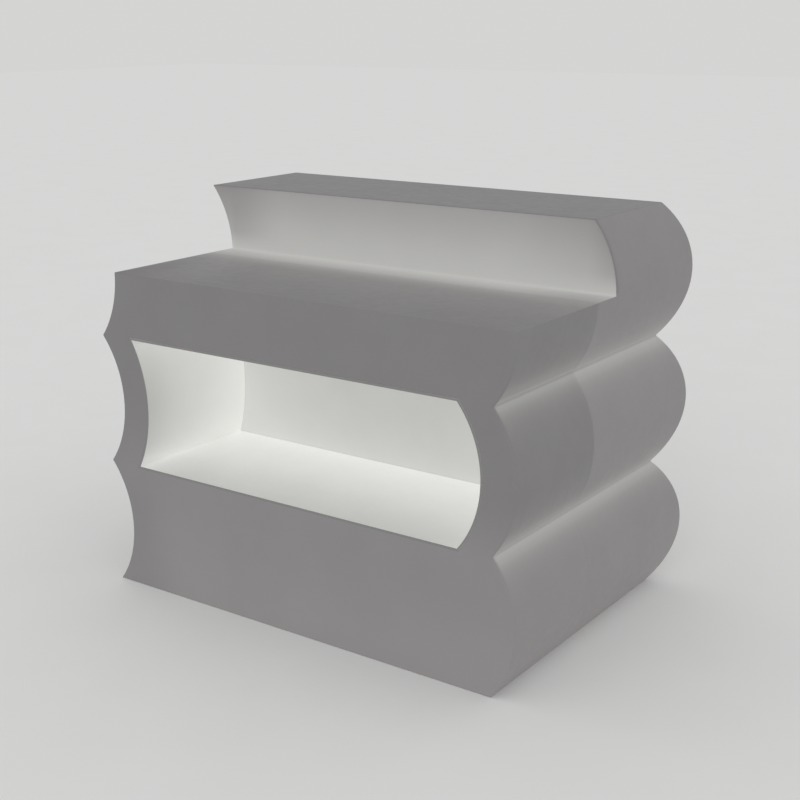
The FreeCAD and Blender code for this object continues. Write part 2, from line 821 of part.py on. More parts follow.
def cap_screw(base, direction, length):
    """Round-headed screw with a hexagonal socket; base is under its head."""
    head_base = base - direction * screw_head_height
    head = rod(head_base, direction, screw_head_radius, screw_head_height)
    screw = fuse([head, rod(base, direction, screw_radius, length)])
    return screw.cut(hexagon(head_base, direction, screw_socket_across, screw_socket_depth))


def liner_screws():
    """Screws through the liner's flange into the bosses behind the staff face."""
    length = liner_flange_thickness + screw_bite - seat_gap
    seat_y = liner_flange_y + liner_flange_thickness
    return [cap_screw(Vector(x, seat_y, z), -Y_AXIS, length) for x, z in liner_screw_points()]


def hatch_screws():
    """Screws up through the hatch and its gasket into the body's floor."""
    length = hatch_thickness + gasket_thickness + screw_bite - seat_gap
    return [cap_screw(Vector(x, y, hatch_under_z), Z_AXIS, length) for x, y in hatch_screw_points()]


def battens():
    """Each batten's name, height, the plane of its back and the way that its light goes."""
    rows = []
    for tier, name in enumerate(tier_names):
        rows.append((name, half_tier + tier_height * tier, upright_back_y, 1))
    rows.append(("niche", niche_floor_z + half_tier, upright_front_y, -1))
    return rows


def batten_span():
    return span(frame_middle_x, batten_length)


def outward(batten, near, far):
    """A (low, high) pair on Y, measured from the upright's face the way the light goes."""
    name, middle_z, face_y, way = batten
    return tuple(sorted((face_y + way * near, face_y + way * far)))


def batten_channel(batten):
    """Extruded channel, open towards the light, with holes for its leads."""
    name, middle_z, face_y, way = batten
    up = span(middle_z, batten_height)
    outer = block(batten_span(), outward(batten, clip_thickness, clip_thickness + batten_depth), up)
    back = clip_thickness + batten_wall
    inner_span = outward(batten, back, clip_thickness + batten_depth + overrun)
    inner = block(batten_span(), inner_span, span(middle_z, batten_height - 2 * batten_wall))
    return outer.cut(inner)


def batten_board(batten):
    """LED board on the back of the channel, with a row of diodes."""
    name, middle_z, face_y, way = batten
    back = clip_thickness + batten_wall
    front = back + board_thickness
    length = batten_length - 2 * end_cap_thickness
    across = span(frame_middle_x, length)
    parts = [block(across, outward(batten, back, front), span(middle_z, board_height))]
    count = int(length // diode_pitch)
    first_x = frame_middle_x - diode_pitch * (count - 1) / 2
    diode_span = outward(batten, front, front + diode_thickness)
    for diode in range(count):
        middle_x = first_x + diode * diode_pitch
        parts.append(block(span(middle_x, diode_size), diode_span, span(middle_z, diode_size)))
    return fuse(parts)


def diffuser_face(batten, start_x, growth):
    """The curved outline of a diffuser, drawn in by growth."""
    name, middle_z, face_y, way = batten
    seat_y = face_y + way * (clip_thickness + batten_depth)
    half = batten_height / 2 - growth
    crown_y = seat_y + way * (diffuser_bulge - growth)
    ends = [Vector(start_x, seat_y, middle_z + side * half) for side in (-1, 1)]
    arc = Part.Arc(ends[0], Vector(start_x, crown_y, middle_z), ends[1]).toShape()
    return closed_face([[arc]], [(ends[0], ends[1])])


def batten_diffuser(batten):
    """Opal cover with a curved front, hollow, on the channel's edges."""
    start_x = batten_span()[0]
    outer = diffuser_face(batten, start_x, 0).extrude(X_AXIS * batten_length)
    inner = diffuser_face(batten, start_x, diffuser_wall).extrude(X_AXIS * batten_length)
    return outer.cut(inner)


def batten_end_caps():
    """Caps that close both ends of every batten."""
    caps = []
    for batten in battens():
        name, middle_z, face_y, way = batten
        channel_span = outward(batten, clip_thickness, clip_thickness + batten_depth)
        low_x, high_x = batten_span()
        for start_x in (low_x - end_cap_thickness, high_x):
            across = (start_x, start_x + end_cap_thickness)
            plate = block(across, channel_span, span(middle_z, batten_height))
            nose = diffuser_face(batten, start_x, 0).extrude(X_AXIS * end_cap_thickness)
            caps.append(fuse([plate, nose]))
    return caps


def batten_clips():
    """Spring clips that hold the battens on both uprights."""
    clips = []
    for batten in battens():
        name, middle_z, face_y, way = batten
        for x in upright_xs:
            height = batten_height + 2 * (batten_wall + slip_gap)
            back_span = outward(batten, 0, clip_thickness)
            parts = [block(span(x, clip_length), back_span, span(middle_z, height))]
            lip_span = outward(batten, 0, clip_thickness + clip_lip)
            for side in (-1, 1):
                edge_z = middle_z + side * (height - batten_wall) / 2
                parts.append(block(span(x, clip_length), lip_span, span(edge_z, batten_wall)))
            clips.append(fuse(parts).cut(clip_screw_holes(batten, x)))
    return clips


def clip_screw(batten, x, play):
    """Countersunk screw of one clip, as a solid; play widens it into its hole."""
    name, middle_z, face_y, way = batten
    head_y = face_y + way * clip_thickness
    direction = -Y_AXIS * way
    base = Vector(x, head_y, middle_z)
    radius = clip_screw_head_radius + play
    head = Part.makeCone(radius, clip_screw_radius + play, clip_thickness, base, direction)
    return fuse([head, rod(base, direction, clip_screw_radius + play, clip_screw_length)])


def clip_screw_holes(batten, x):
    return [clip_screw(batten, x, slip_gap)]


def clip_screws():
    return [clip_screw(batten, x, 0) for batten in battens() for x in upright_xs]


def rounded_plate(length, width, up, radius):
    """Flat plate about the hatch's middle, with rounded corners."""
    plate = block(span(frame_middle_x, length), span(hatch_y, width), up)
    if radius > 0:
        boxes = [(edge, edge.BoundBox) for edge in plate.Edges]
        corners = [edge for edge, box in boxes if box.ZLength > box.XLength + box.YLength]
        plate = plate.makeFillet(radius, corners)
    return plate


def inlet_cutout(growth):
    """The inlet's body as it passes through the well's wall."""
    across = (well_low_x - inlet_reach, well_low_x + well_wall)
    return block(
        across, span(hatch_y, inlet_width + 2 * growth), span(inlet_z, inlet_tall + 2 * growth)
    )


def service_hatch():
    """Plate under the body's floor, with a raised well in which the plug sits."""
    length = hatch_open_length + 2 * hatch_lap
    width = hatch_open_width + 2 * hatch_lap
    plate = rounded_plate(length, width, (hatch_under_z, hatch_top_z), hatch_corner_radius)
    top_z = hatch_under_z + well_height
    well = block(span(well_x, well_length), span(hatch_y, well_width), (hatch_under_z, top_z))
    space = block(
        span(well_x, well_length - 2 * well_wall),
        span(hatch_y, well_width - 2 * well_wall),
        (hatch_under_z, top_z - well_wall),
    )
    holes = [inlet_cutout(slip_gap)]
    for x, y in hatch_screw_points():
        holes.append(rod(Vector(x, y, 0), Z_AXIS, screw_radius + bolt_clearance, hatch_top_z))
    for x, y in driver_screw_points():
        holes.append(rod(Vector(x, y, 0), Z_AXIS, screw_radius + slip_gap, hatch_top_z))
    return fuse([plate, well]).cut([space] + holes)


def hatch_gasket():
    """Flat seal between the hatch and the body's floor."""
    up = (hatch_top_z, recess_height)
    outer_growth = 2 * (hatch_lap - gasket_margin)
    outer_length = hatch_open_length + outer_growth
    outer_width = hatch_open_width + outer_growth
    outer = rounded_plate(outer_length, outer_width, up, hatch_corner_radius - gasket_margin)
    inner_growth = 2 * gasket_margin
    inner = rounded_plate(hatch_open_length + inner_growth, hatch_open_width + inner_growth, up, 0)
    holes = [
        rod(Vector(x, y, 0), Z_AXIS, screw_radius + bolt_clearance, floor_z) for x, y in hatch_screw_points()
    ]
    return outer.cut([inner] + holes)


def driver_screw_points():
    """The driver's two lugs."""
    reach = driver_length / 2 + driver_lug / 2
    reach_y = driver_width / 2 - driver_lug / 2
    return [(driver_x - reach, hatch_y - reach_y), (driver_x + reach, hatch_y + reach_y)]


def driver_case():
    """Open box for the driver's board, with lugs and standoffs."""
    base_z = hatch_top_z
    across, along = span(driver_x, driver_length), span(hatch_y, driver_width)
    outer = block(across, along, (base_z, base_z + driver_height))
    inner = block(
        span(driver_x, driver_length - 2 * driver_wall),
        span(hatch_y, driver_width - 2 * driver_wall),
        (base_z + driver_wall, base_z + driver_height + overrun),
    )
    parts = [outer.cut(inner)]
    for x, y in driver_standoffs():
        base = Vector(x, y, base_z + driver_wall)
        parts.append(rod(base, Z_AXIS, driver_standoff_radius, driver_standoff_height))
    for x, y in driver_screw_points():
        parts.append(block(span(x, driver_lug), span(y, driver_lug), (base_z, base_z + driver_wall)))
    holes = [
        rod(Vector(x, y, base_z), Z_AXIS, screw_radius + bolt_clearance, driver_wall)
        for x, y in driver_screw_points()
    ]
    return fuse(parts).cut(holes)


def driver_standoffs():
    reach_x = driver_length / 2 - driver_wall - 2 * driver_board_margin
    reach_y = driver_width / 2 - driver_wall - 2 * driver_board_margin
    return [(driver_x + a * reach_x, hatch_y + b * reach_y) for a in (-1, 1) for b in (-1, 1)]


def driver_lid():
    across, along = span(driver_x, driver_length), span(hatch_y, driver_width)
    base_z = hatch_top_z + driver_height
    return block(across, along, (base_z, base_z + driver_lid_thickness))


def driver_board():
    """Board with a transformer, a heat sink and two capacitors."""
    base_z = hatch_top_z + driver_wall + driver_standoff_height
    top_z = base_z + driver_board_thickness
    length = driver_length - 2 * (driver_wall + driver_board_margin)
    width = driver_width - 2 * (driver_wall + driver_board_margin)
    parts = [block(span(driver_x, length), span(hatch_y, width), (base_z, top_z))]
    long, wide, tall = driver_transformer
    parts.append(block(span(driver_x, long), span(hatch_y, wide), (top_z, top_z + tall)))
    long, wide, tall = driver_heat_sink
    sink_x = driver_x + length / 2 - long
    parts.append(block(span(sink_x, long), span(hatch_y, wide), (top_z, top_z + tall)))
    for side in (-1, 1):
        middle_y = hatch_y + side * (driver_capacitor_radius + driver_board_margin / 2)
        base = Vector(driver_x - length / 2 + 2 * driver_capacitor_radius, middle_y, top_z)
        parts.append(rod(base, Z_AXIS, driver_capacitor_radius, driver_capacitor_height))
    return fuse(parts)


def driver_screws():
    """Screws that hold the driver's lugs on the hatch."""
    length = driver_wall + hatch_thickness
    seat_z = hatch_top_z + driver_wall
    return [cap_screw(Vector(x, y, seat_z), -Z_AXIS, length) for x, y in driver_screw_points()]


def inlet_pin_places():
    """Middle of each pin on Y and Z: two in line and the earth pin between them, lower."""
    return [
        (hatch_y - inlet_pin_spacing, inlet_z + inlet_pin_drop / 2),
        (hatch_y + inlet_pin_spacing, inlet_z + inlet_pin_drop / 2),
        (hatch_y, inlet_z - inlet_pin_drop / 2),
    ]


def inlet_pins():
    """Flat pins that stand in the inlet and end in tabs behind it."""
    socket_floor_x = well_low_x - inlet_reach + inlet_wall
    across = (well_low_x - inlet_reach - inlet_tab_length, socket_floor_x + inlet_pin_length)
    return [
        block(across, span(y, inlet_pin_thickness), span(z, inlet_pin_width)) for y, z in inlet_pin_places()
    ]


def inlet_body():
    """Flanged moulding with the socket for the plug."""
    face_x = well_low_x + well_wall + inlet_flange_thickness
    flange = block(
        (well_low_x + well_wall, face_x),
        span(hatch_y, inlet_flange_width),
        span(inlet_z, inlet_flange_tall),
    )
    socket = block(
        (well_low_x - inlet_reach + inlet_wall, face_x),
        span(hatch_y, inlet_width - 2 * inlet_wall),
        span(inlet_z, inlet_tall - 2 * inlet_wall),
    )
    return fuse([flange, inlet_cutout(0)]).cut([socket] + inlet_pins())


def rocker_pocket_half():
    """Half the pocket's length: the rocker's furthest corner must swing clear of it."""
    return math.hypot(rocker_half_length, rocker_end_drop) + switch_pocket_gap


def switch_housing():
    """Housing snapped into the niche ceiling, open below, with a bezel and the rocker's bearings."""
    bezel_z = niche_ceiling_z - switch_bezel_thickness
    top_z = niche_ceiling_z + switch_body_height
    width = switch_width + 2 * switch_wall
    length = 2 * rocker_pocket_half() + 2 * switch_wall
    body = block(span(switch_x, width), span(switch_y, length), (bezel_z, top_z))
    bezel = block(
        span(switch_x, width + 2 * switch_bezel),
        span(switch_y, length + 2 * switch_bezel),
        (bezel_z, niche_ceiling_z),
    )
    pocket = block(
        span(switch_x, switch_width),
        span(switch_y, 2 * rocker_pocket_half()),
        (bezel_z, top_z - switch_wall),
    )
    pin_base = Vector(switch_x - width / 2 + switch_wall / 2, switch_y, bezel_z + switch_pivot_lift)
    bearings = rod(pin_base, X_AXIS, rocker_pin_radius + slip_gap, width - switch_wall)
    return fuse([body, bezel]).cut([pocket, bearings])


def switch_rocker():
    """Rocker with two faces that meet in a shallow V, tilted to its ON side, on two short pins."""
    pivot_z = niche_ceiling_z - switch_bezel_thickness + switch_pivot_lift
    width = switch_width - 2 * switch_pocket_gap
    start_x = switch_x - width / 2
    outline = [
        (-rocker_half_length, -rocker_end_drop),
        (0, -rocker_middle_drop),
        (rocker_half_length, -rocker_end_drop),
        (rocker_half_length, 0),
        (rocker_back, rocker_back),
        (-rocker_back, rocker_back),
        (-rocker_half_length, 0),
    ]
    points = [Vector(start_x, switch_y + y, pivot_z + z) for y, z in outline]
    button = prism(points, X_AXIS * width)
    reach = switch_wall / 2 - slip_gap + switch_pocket_gap
    pin_base = Vector(start_x - reach, switch_y, pivot_z)
    pins = rod(pin_base, X_AXIS, rocker_pin_radius, width + 2 * reach)
    rocker = fuse([button, pins])
    rocker.rotate(Vector(switch_x, switch_y, pivot_z), X_AXIS, rocker_tilt)
    return rocker


def part_way(start, end, shares):
    """The point at the given shares of the way from start to end on X, Y and Z."""
    reach = end - start
    return start + Vector(shares[0] * reach.x, shares[1] * reach.y, shares[2] * reach.z)


def batten_edge(batten, x, side):
    """Where a lead meets the lower (-1) or upper (1) wall of a batten's channel."""
    name, middle_z, face_y, way = batten
    middle_y = face_y + way * (clip_thickness + batten_depth / 2)
    return Vector(x, middle_y, middle_z + side * batten_height / 2)


def supply_route():
    """From the inlet's tabs to the driver."""
    start = Vector(well_low_x - inlet_reach - inlet_tab_length, hatch_y, inlet_z)
    end = Vector(driver_x + driver_length / 2, hatch_y, driver_lead_z)
    return [part_way(start, end, shares) for shares in supply_lead_shares]


def lower_route():
    """From the driver to the lower batten."""
    start = Vector(driver_x - driver_length / 2, hatch_y, driver_lead_z)
    end = batten_edge(battens()[0], upright_xs[0] + lamp_lead_inset, -1)
    return [part_way(start, end, shares) for shares in lower_lead_shares]


def clipped_route(start, end, line, height_shares):
    """From one batten up to another, by way of the clips on an upright."""
    places = [(start.x, start.y), line, line, (end.x, end.y)]
    points = [start]
    for (x, y), share in zip(places, height_shares):
        points.append(Vector(x, y, start.z + share * (end.z - start.z)))
    return points + [end]


def lamp_route(tier):
    """From the batten of one tier to the batten of the next."""
    x = upright_xs[0] + lamp_lead_inset
    start, end = batten_edge(battens()[tier], x, 1), batten_edge(battens()[tier + 1], x, -1)
    return clipped_route(start, end, lamp_line, lamp_lead_height_shares)


def niche_route():
    """From the lower batten to the one behind the niche."""
    start = batten_edge(battens()[0], upright_xs[0] + niche_lead_inset, 1)
    end = batten_edge(battens()[-1], upright_xs[0] + niche_lead_end_inset, -1)
    return clipped_route(start, end, niche_line, niche_lead_height_shares)


def switch_route():
    """From the driver round the well, up the right upright and over the niche to the switch."""
    start = Vector(driver_x + driver_length / 2, hatch_y - switch_lead_offset, floor_z)
    passing = Vector(switch_line[0], hatch_y - well_width / 2 - switch_lead_well_gap, driver_lead_z)
    points = [part_way(start, passing, shares) for shares in switch_lead_floor_shares]
    post = Vector(switch_line[0], switch_line[1], driver_lead_z)
    points.append(part_way(Vector(start.x, passing.y, floor_z), post, switch_lead_rise_shares))
    for share in switch_lead_post_shares:
        points.append(Vector(post.x, post.y, floor_z + share * (niche_ceiling_z - floor_z)))
    housing_y = switch_y + rocker_pocket_half() + switch_wall
    end = Vector(switch_x, housing_y, liner_top_z + lead_radius)
    above = Vector(post.x, post.y, liner_top_z)
    points += [part_way(above, end, shares) for shares in switch_lead_top_shares]
    return points + [Vector(end.x, end.y, points[-1].z)]


def lead(name, points):
    """Round lead along points: straight runs joined by tangent arcs, as large as the runs allow."""
    edges, radii, start = [], [], points[0]
    for before, corner, after in zip(points, points[1:], points[2:]):
        into = (corner - before).normalize()
        away = (after - corner).normalize()
        half_turn = into.getAngle(away) / 2
        shorter = min((corner - before).Length, (after - corner).Length)
        setback = lead_bend_share * shorter
        radius = setback / math.tan(half_turn)
        bisector = (away - into).normalize()
        sagitta = radius * (1 / math.cos(half_turn) - 1)
        arc_start, arc_end = corner - into * setback, corner + away * setback
        edges.append(Part.LineSegment(start, arc_start).toShape())
        edges.append(Part.Arc(arc_start, corner + bisector * sagitta, arc_end).toShape())
        radii.append(radius)
        start = arc_end
    edges.append(Part.LineSegment(start, points[-1]).toShape())
    path = Part.Wire(edges)
    section = Part.Wire(Part.makeCircle(lead_radius, points[0], points[1] - points[0]))
    tube = path.makePipeShell([section], True, False)
    exact = math.pi * lead_radius**2 * path.Length
    print(name, "length", round(path.Length), "radii", [round(r) for r in radii], end=" ")
    print("volume share", round(tube.Volume / exact, 5))
    return tube


def lead_clips():
    """Saddle clips that hold the leads on the uprights' facing sides."""
    left_face = upright_xs[0] + tube_size / 2
    right_face = upright_xs[1] - tube_size / 2
    places = [(left_face, lamp_line, share) for share in lamp_clip_height_shares]
    places += [(left_face, niche_line, share) for share in niche_clip_height_shares]
    places += [(right_face, switch_line, share) for share in switch_clip_height_shares]
    clips = []
    for face_x, (middle_x, y), share in places:
        z = share * tier_height
        base = Vector(middle_x, y, z)
        ring = rod(base, Z_AXIS, lead_radius + lead_clip_thickness, lead_clip_length)
        across = tuple(sorted((face_x, middle_x)))
        foot = block(across, span(y, 2 * lead_radius), (z, z + lead_clip_length))
        bore = rod(base, Z_AXIS, lead_radius + slip_gap, lead_clip_length)
        clips.append(fuse([ring, foot]).cut(bore))
    return clips


def save(node, shape):
    """Write one sub-part, a solid or a group of separate solids."""
    if isinstance(shape, list):
        shape = Part.makeCompound(shape)
    for solid in shape.Solids:
        if not solid.isValid() or solid.Volume <= 0:
            print("fault in", node)
    print(node, "solids", len(shape.Solids), "volume", round(shape.Volume))
    shape.exportStep(os.path.join("parts", node + ".step"))


def save_body():
    save("front_shell", front_shell())
    save("rear_shell", rear_shell())
    save("niche_liner", niche_liner())
    save("liner_screws", liner_screws())
    save("seam_bolts", seam_bolts())
    save("seam_nuts", seam_nuts())


def save_feet():
    for name, (x, y) in foot_points().items():
        save(name + "_foot_pad", foot_pad(x, y))
        save(name + "_foot_stem", foot_stem(x, y))
    save("foot_inserts", foot_inserts())
    save("foot_lock_nuts", foot_lock_nuts())


def save_frame():
    for end, x in zip(("left", "right"), upright_xs):
        save(end + "_upright", upright(x))
        save(end + "_worktop_bearer", bearer(x, worktop_bearer_y, worktop_bearer_z))
        save(end + "_shelf_bearer", bearer(x, shelf_bearer_y, shelf_bearer_z))
    save("top_rail", top_rail())
    save("bar_top_pads", bar_top_pads())
    save("bearer_pads", bearer_pads())
    save("frame_bolts", frame_bolts())
    save("frame_nuts", frame_nuts())


def save_lights():
    for batten in battens():
        name = batten[0]
        save(name + "_batten_channel", batten_channel(batten))
        save(name + "_led_board", batten_board(batten))
        save(name + "_batten_diffuser", batten_diffuser(batten))
    save("batten_end_caps", batten_end_caps())
    save("batten_clips", batten_clips())
    save("clip_screws", clip_screws())


def save_service():
    save("service_hatch", service_hatch())
    save("hatch_gasket", hatch_gasket())
    save("hatch_screws", hatch_screws())
    save("driver_case", driver_case())
    save("driver_lid", driver_lid())
    save("driver_board", driver_board())
    save("driver_screws", driver_screws())
    save("inlet_body", inlet_body())
    save("inlet_pins", inlet_pins())
    save("switch_housing", switch_housing())
    save("switch_rocker", switch_rocker())


def save_leads():
    routes = {"supply_lead": supply_route(), "lower_lamp_lead": lower_route()}
    for tier, name in enumerate(tier_names[1:]):
        routes[name + "_lamp_lead"] = lamp_route(tier)
    routes["niche_lamp_lead"] = niche_route()
    routes["switch_lead"] = switch_route()
    for name, points in routes.items():
        save(name, lead(name, points))
    save("lead_clips", lead_clips())


os.makedirs("parts", exist_ok=True)
save_body()
save_feet()
save_frame()
save_lights()
save_service()
save_leads()
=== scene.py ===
import json
import math

import bmesh
import bpy
from mathutils import Euler, Matrix, Vector


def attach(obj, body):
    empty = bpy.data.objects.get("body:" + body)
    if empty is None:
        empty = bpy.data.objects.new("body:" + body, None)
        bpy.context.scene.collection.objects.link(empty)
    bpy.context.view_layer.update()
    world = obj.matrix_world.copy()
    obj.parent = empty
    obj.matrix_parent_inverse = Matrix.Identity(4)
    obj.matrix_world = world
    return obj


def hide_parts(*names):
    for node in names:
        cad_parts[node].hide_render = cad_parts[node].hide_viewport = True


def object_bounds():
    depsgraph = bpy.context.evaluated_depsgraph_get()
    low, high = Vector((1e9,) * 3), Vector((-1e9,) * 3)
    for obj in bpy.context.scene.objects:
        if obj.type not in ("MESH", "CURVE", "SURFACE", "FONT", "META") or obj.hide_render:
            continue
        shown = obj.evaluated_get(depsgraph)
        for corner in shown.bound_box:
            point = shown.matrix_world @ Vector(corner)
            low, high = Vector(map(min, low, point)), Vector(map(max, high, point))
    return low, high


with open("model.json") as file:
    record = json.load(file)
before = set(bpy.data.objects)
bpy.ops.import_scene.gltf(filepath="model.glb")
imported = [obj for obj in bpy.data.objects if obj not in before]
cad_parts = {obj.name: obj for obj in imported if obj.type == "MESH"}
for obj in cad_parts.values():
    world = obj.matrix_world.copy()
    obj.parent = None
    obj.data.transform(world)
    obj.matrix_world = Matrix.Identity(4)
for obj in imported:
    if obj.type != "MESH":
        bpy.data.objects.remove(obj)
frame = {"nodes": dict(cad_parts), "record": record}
cad_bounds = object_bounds()

# Places on the body, in metres, in the row frame: +X to the swelling end, +Y to the customers, +Z up
body_low, body_high = (Vector(corner) for corner in cad_bounds)
tier_count = 3
tier_height = body_high.z / tier_count
valleys = (tier_height, 2 * tier_height)
upper_valley = valleys[1]
end_bulge = 0.066
customer_bulge = 0.074
worktop_z = 0.917
riser_y = 0.006
seam_y = -0.09
right_valley_x = body_high.x - end_bulge
customer_valley_y = body_high.y - customer_bulge
niche_back_y = -0.05
niche_left_x = -0.562
niche_right_x = 0.512
niche_left_bulge = 0.048
niche_right_bulge = 0.066
niche_middle_z = 1.5 * tier_height
# The niche's left wall is flatter at its back than at its opening, and stands a little further in at its foot
niche_left_flatter = 0.020
niche_left_inset = 0.005

# Rounding of the moulded pieces' edges, and the angle from which an edge gets it
shell_edge = 0.002
liner_edge = 0.003
small_edge = 0.0006
shell_edge_steps = 3
small_edge_steps = 2
sharp_angle = math.radians(28)

# Noise lies mostly between these two values
noise_span = (0.3, 0.7)
wide_noise_span = (0.25, 0.75)
grain_detail = 4.0
speckle_detail = 3.0
cloud_detail = 2.0
patch_per_grain = 12


# Shader helpers

def maths(tree, operation, *values):
    """A Math node on numbers or sockets; gives its output socket."""
    node = tree.nodes.new("ShaderNodeMath")
    node.operation = operation
    for socket, value in zip(node.inputs, values):
        if isinstance(value, bpy.types.NodeSocket):
            tree.links.new(value, socket)
        else:
            socket.default_value = value
    return node.outputs[0]


def joined(tree, operation, values):
    """All the values under one operation, from the first to the last."""
    result = values[0]
    for value in values[1:]:
        result = maths(tree, operation, result, value)
    return result


def added(tree, *values):
    return joined(tree, "ADD", values)


def product(tree, *values):
    return joined(tree, "MULTIPLY", values)


def distance(tree, value, place):
    return maths(tree, "ABSOLUTE", maths(tree, "SUBTRACT", value, place))


def fade(tree, value, start, end, low=0.0, high=1.0):
    """Goes smoothly from low, where value is at start, to high at end."""
    node = tree.nodes.new("ShaderNodeMapRange")
    node.interpolation_type = "SMOOTHSTEP"
    tree.links.new(value, node.inputs["Value"])
    for name, number in (("From Min", start), ("From Max", end), ("To Min", low), ("To Max", high)):
        node.inputs[name].default_value = number
    return node.outputs["Result"]


def near(tree, value, place, reach):
    """One where value is at place, falling off over about reach on both sides."""
    return maths(tree, "EXPONENT", maths(tree, "MULTIPLY", distance(tree, value, place), -1.0 / reach))


def blotches(tree, coordinates, size, detail, stretch=(1.0, 1.0, 1.0)):
    """Noise from 0 to 1 with blotches of about size metres."""
    if stretch != (1.0, 1.0, 1.0):
        mapping = tree.nodes.new("ShaderNodeMapping")
        mapping.inputs["Scale"].default_value = stretch
        tree.links.new(coordinates, mapping.inputs["Vector"])
        coordinates = mapping.outputs["Vector"]
    node = tree.nodes.new("ShaderNodeTexNoise")
    node.inputs["Scale"].default_value = 1.0 / size
    node.inputs["Detail"].default_value = detail
    tree.links.new(coordinates, node.inputs["Vector"])
    return node.outputs["Fac"]


def tint(tree, factor, low, high):
    """A colour between low and high, by factor. low may be a socket."""
    node = tree.nodes.new("ShaderNodeMix")
    node.data_type = "RGBA"
    low_socket, high_socket = (socket for socket in node.inputs if socket.type == "RGBA")
    if isinstance(low, bpy.types.NodeSocket):
        tree.links.new(low, low_socket)
    else:
        low_socket.default_value = (*low, 1.0)
    high_socket.default_value = (*high, 1.0)
    tree.links.new(factor, node.inputs["Factor"])
    return next(socket for socket in node.outputs if socket.type == "RGBA")


def scaled(tree, colour, factor):
    """A fixed colour times a socket."""
    node = tree.nodes.new("ShaderNodeVectorMath")
    node.operation = "SCALE"
    node.inputs[0].default_value = colour
    tree.links.new(factor, node.inputs["Scale"])
    return node.outputs["Vector"]


def started(name):
    """A new material: its tree, shader, object coordinates, and those split into x, y and z."""
    material = bpy.data.materials.new(name)
    material.use_nodes = True
    tree = material.node_tree
    shader = tree.nodes["Principled BSDF"]
    place = tree.nodes.new("ShaderNodeTexCoord").outputs["Object"]
    split = tree.nodes.new("ShaderNodeSeparateXYZ")
    tree.links.new(place, split.inputs[0])
    return material, tree, shader, place, tuple(split.outputs)


def grained(tree, shader, place, size, depth, roughness, spread, stretch=(1.0, 1.0, 1.0)):
    """Surface grain: bump of about depth metres, and roughness that varies by spread in wider patches."""
    bump = tree.nodes.new("ShaderNodeBump")
    bump.inputs["Strength"].default_value = 1.0
    bump.inputs["Distance"].default_value = depth
    tree.links.new(blotches(tree, place, size, grain_detail, stretch), bump.inputs["Height"])
    tree.links.new(bump.outputs["Normal"], shader.inputs["Normal"])
    patch = blotches(tree, place, patch_per_grain * size, cloud_detail, stretch)
    level = fade(tree, patch, *noise_span, roughness - spread, roughness + spread)
    tree.links.new(level, shader.inputs["Roughness"])


def plain(name, dark, light, roughness, metallic=0.0, size=0.01, grain=0.0015, depth=0.00002,
          spread=0.05, stretch=(1.0, 1.0, 1.0)):
    """A finish with two close tones, in blotches of size, over a fine grain."""
    material, tree, shader, place, _ = started(name)
    shader.inputs["Metallic"].default_value = metallic
    mottle = fade(tree, blotches(tree, place, size, grain_detail, stretch), *noise_span)
    tree.links.new(tint(tree, mottle, dark, light), shader.inputs["Base Color"])
    grained(tree, shader, place, grain, depth, roughness, spread, stretch)
    return material


def bulged(tree, z, middle_z, rise):
    """How far an arc over one tier, of that rise, stands out at height z."""
    half = tier_height / 2
    radius = (half ** 2 + rise ** 2) / (2 * rise)
    off = maths(tree, "SUBTRACT", z, middle_z)
    under = maths(tree, "SUBTRACT", radius ** 2, maths(tree, "MULTIPLY", off, off))
    return added(tree, maths(tree, "SQRT", maths(tree, "MAXIMUM", under, 0.0)), rise - radius)


# Milky plastic of the shells, with the light of the battens inside painted on as emission. All levels of light
# are emission, all reaches and spans are metres
body_dark = (0.1480, 0.1450, 0.1465)
body_light = (0.1565, 0.1535, 0.1550)
body_glow_colour = (1.037, 0.98, 0.978)
step_glow_colour = (0.985, 1.0, 0.945)
body_glow = 0.061
body_glow_spread = 0.002
wall_cloud_size = 0.14
speckle_size = 0.0016
speckle_share = 0.65
body_specular = 0.25
body_grain = {"size": 0.0022, "depth": 0.00006, "roughness": 0.55, "spread": 0.03}

# Painted light makes the rear shell and the lower tier a little brighter, and the foot brighter against the
# floor's shade; painted shade dims the bar top and the upper tier
zone_glow = 0.034
rear_span_y = (seam_y - 0.006, seam_y + 0.012)
lower_span_z = (1.45 * tier_height, 0.95 * tier_height)
upper_span_z = (2.1 * tier_height, 2.4 * tier_height)
upper_dimming = 0.2
bar_top_span_z = (body_high.z - 0.0016, body_high.z - 0.0004)
bar_top_dimming = 1.15
foot_span_z = (0.9 * tier_height, 0.0)
foot_glow = 0.021

# The left end is scooped in towards the battens, and painted light makes each scoop brightest at its middle
scoop_glow = 0.03
left_end_span_x = (body_low.x + 0.09, body_low.x + 0.06)
behind_face_span_y = (body_low.y + 0.0005, body_low.y + 0.03)

# Painted shade makes the staff face duller at the left of the lower tier
low_left_light = -0.027
low_left_span_x = (body_low.x + 0.26, body_low.x + 0.06)
low_left_span_z = (0.2, 0.34)
low_left_top_share = 0.35
face_span_y = (body_low.y + 0.02, body_low.y + 0.001)

# Painted light fills the groove along the seam, against its shade
groove_glow = 0.030
groove_reach = 0.0012

# Painted light on the worktop near the riser, and up the riser from its foot, stands in for the batten behind
# the step
step_span_z = (worktop_z - 0.002, worktop_z - 0.0005)
step_span_y = (riser_y + 0.0014, riser_y + 0.0002)
strip_span_y = (riser_y - 0.185, riser_y)
strip_glow = 0.165
strip_foot_reach = 0.13
strip_foot_glow = 0.103
off_riser_span_y = (riser_y - 0.002, riser_y - 0.03)
strip_left_span_x = (body_low.x + 0.25, body_low.x + 0.05)
strip_left_light = -0.030
strip_right_span_x = (body_high.x - 0.30, body_high.x - 0.03)
strip_right_span_y = (riser_y - 0.16, riser_y - 0.05)
strip_right_light = -0.060
worktop_front_span_y = (body_low.y, seam_y - 0.03)
worktop_front_light = -0.024
worktop_span_y = (seam_y - 0.08, seam_y + 0.02)
worktop_light = 0.010
up_riser_span_z = (worktop_z, body_high.z + 0.05)
up_riser_dimming = 0.145
